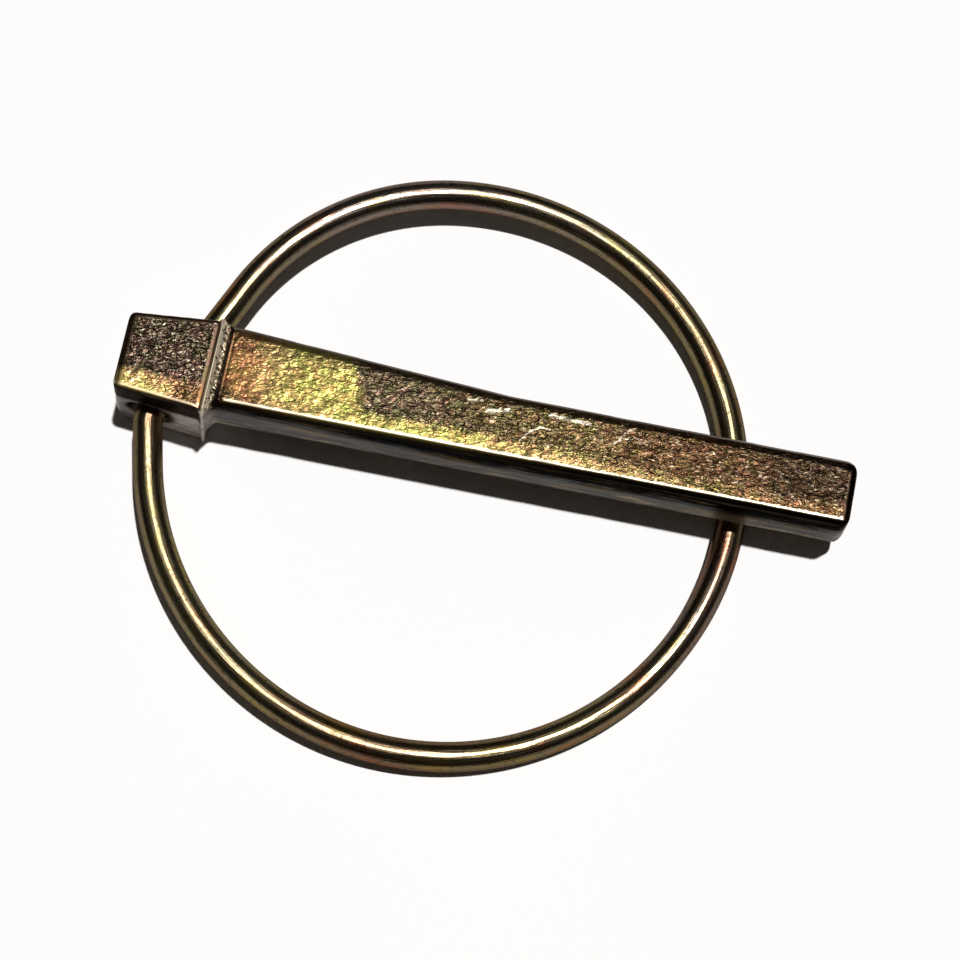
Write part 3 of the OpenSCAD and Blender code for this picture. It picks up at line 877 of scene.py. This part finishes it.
# The camera and the lamps: places and lengths in metres, directions as vectors, lens widths in millimetres
CAMERA_PLACE = Vector((0.019761, -0.094053, 0.340776))
CAMERA_RIGHT = Vector((0.98018796, 0.19806957, 0.0))
CAMERA_UP = Vector((-0.1905861, 0.9431545, 0.27228025))
LAMP_DIRECTION = Vector((0.128, 0.11, 1.0))
LAMP_ANGLE = math.radians(1.6)
LAMP_COLOUR = (1.0, 0.985, 0.96)
SOFT_PLACE = Vector((0.05, 0.12, 0.75))
SOFT_SIZE = 0.5
ROOM_COLOUR = (0.95, 0.97, 1.0, 1.0)
SENSOR_WIDTH = 36.0
NEAREST, FARTHEST = 0.01, 20.0

# Half the floor's side, and how far it lies below the part, so that their faces never coincide
FLOOR_HALF = 4.0
FLOOR_DROP = 0.02 * MM


class OBJECT_OT_lynch_pin_stage(bpy.types.Operator):
    """Lays the pale floor, hangs the lamps and sets up the camera"""

    bl_idname = "object.lynch_pin_stage"
    bl_label = "Build Stage"

    def execute(self, context):
        stage = context.scene.lynch_pin_stage
        scene = context.scene
        mesh = bpy.data.meshes.new("floor")
        signs = ((-1, -1), (1, -1), (1, 1), (-1, 1))
        corners = [(across * FLOOR_HALF, along * FLOOR_HALF, -FLOOR_DROP) for across, along in signs]
        mesh.from_pydata(corners, [], [(0, 1, 2, 3)])
        mesh.materials.append(floor_material(stage))
        floor = bpy.data.objects.new("floor", mesh)
        scene.collection.objects.link(floor)

        lamp = bpy.data.lights.new("key_lamp", "SUN")
        lamp.energy = stage.key_strength
        lamp.angle = LAMP_ANGLE
        lamp.color = LAMP_COLOUR
        key = bpy.data.objects.new("key_lamp", lamp)
        key.rotation_euler = LAMP_DIRECTION.to_track_quat("Z", "Y").to_euler()
        scene.collection.objects.link(key)

        box = bpy.data.lights.new("soft_lamp", "AREA")
        box.shape = "SQUARE"
        box.size = SOFT_SIZE
        box.energy = stage.soft_power
        soft = bpy.data.objects.new("soft_lamp", box)
        soft.location = SOFT_PLACE
        soft.rotation_euler = SOFT_PLACE.to_track_quat("Z", "Y").to_euler()
        scene.collection.objects.link(soft)

        world = bpy.data.worlds.new("soft_room")
        world.use_nodes = True
        world.node_tree.nodes.clear()
        nodes = Nodes(world.node_tree)
        light = nodes.add("ShaderNodeBackground", {"Color": ROOM_COLOUR, "Strength": stage.fill})
        nodes.add("ShaderNodeOutputWorld", {"Surface": light.outputs[0]})
        scene.world = world
        scene.view_settings.view_transform = "Standard"

        lens = bpy.data.cameras.new("camera")
        lens.lens = stage.lens
        lens.sensor_width = SENSOR_WIDTH
        lens.clip_start = NEAREST
        lens.clip_end = FARTHEST
        camera = bpy.data.objects.new("camera", lens)
        back = CAMERA_RIGHT.cross(CAMERA_UP)
        turn = Matrix((CAMERA_RIGHT, CAMERA_UP, back)).transposed().to_4x4()
        camera.matrix_world = Matrix.Translation(CAMERA_PLACE) @ turn
        scene.collection.objects.link(camera)
        scene.camera = camera
        return {"FINISHED"}


class VIEW3D_PT_lynch_pin(bpy.types.Panel):
    """Lists the pieces and their settings"""

    bl_label = "Lynch Pin"
    bl_idname = "VIEW3D_PT_lynch_pin"
    bl_space_type = "VIEW_3D"
    bl_region_type = "UI"
    bl_category = "Lynch Pin"

    def draw(self, context):
        layout = self.layout
        groups = (
            ("lynch_pin_forging", OBJECT_OT_lynch_pin_forging),
            ("lynch_pin_ring", OBJECT_OT_lynch_pin_ring),
            ("lynch_pin_finish", None),
            ("lynch_pin_stage", OBJECT_OT_lynch_pin_stage),
        )
        for group_name, operator in groups:
            group = getattr(context.scene, group_name)
            box = layout.box()
            for name in group.__annotations__:
                box.prop(group, name)
            if operator:
                box.operator(operator.bl_idname)


SETTINGS = {
    "lynch_pin_forging": LynchPinForging,
    "lynch_pin_ring": LynchPinRing,
    "lynch_pin_finish": LynchPinFinish,
    "lynch_pin_stage": LynchPinStage,
}
OPERATORS = (OBJECT_OT_lynch_pin_forging, OBJECT_OT_lynch_pin_ring, OBJECT_OT_lynch_pin_stage)


def register():
    for name, group in SETTINGS.items():
        bpy.utils.register_class(group)
        setattr(bpy.types.Scene, name, PointerProperty(type=group))
    for operator in OPERATORS:
        bpy.utils.register_class(operator)
    bpy.utils.register_class(VIEW3D_PT_lynch_pin)


def unregister():
    bpy.utils.unregister_class(VIEW3D_PT_lynch_pin)
    for operator in reversed(OPERATORS):
        bpy.utils.unregister_class(operator)
    for name, group in reversed(SETTINGS.items()):
        delattr(bpy.types.Scene, name)
        bpy.utils.unregister_class(group)


def main():
    register()
    bpy.ops.object.lynch_pin_forging()
    bpy.ops.object.lynch_pin_ring()
    bpy.ops.object.lynch_pin_stage()


if __name__ == "__main__":
    main()
